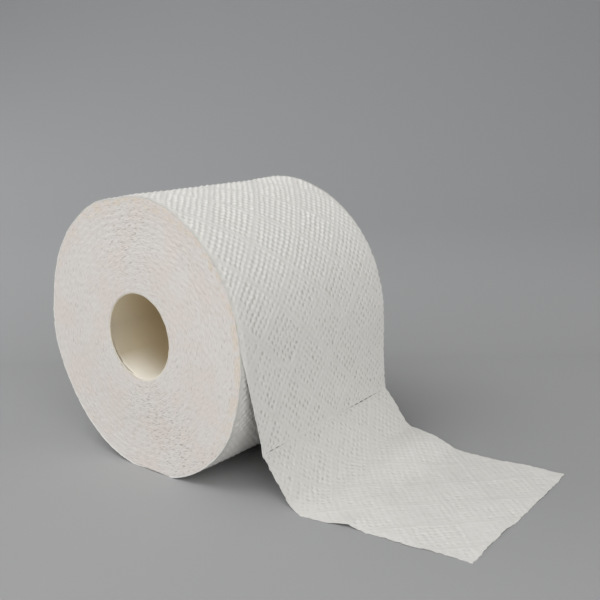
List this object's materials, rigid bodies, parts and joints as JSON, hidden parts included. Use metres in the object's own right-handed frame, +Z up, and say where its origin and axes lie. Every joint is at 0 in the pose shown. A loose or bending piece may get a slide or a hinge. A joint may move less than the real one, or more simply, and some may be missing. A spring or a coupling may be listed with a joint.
{
  "type": "toilet paper roll",
  "caption": "Embossed white tissue wound on a cardboard core, lying on its side, with the last sheet bent at its perforation and unrolled onto the table.",
  "frame": {"origin": "middle of the core's bore, on the roll's axis", "axes": "+Y along the axis, away from the pictured end. +Z up, with the roll lying on its flat spot. +X the way the free sheet leaves"},
  "size_m": [0.221, 0.1082, 0.1244],
  "materials": {
    "tissue": "matte, embossed, slightly translucent",
    "core_board": "matte, unbleached"
  },
  "bodies": {
    "root": {"paper": "tissue", "core": "core_board"}
  },
  "joints": []
}
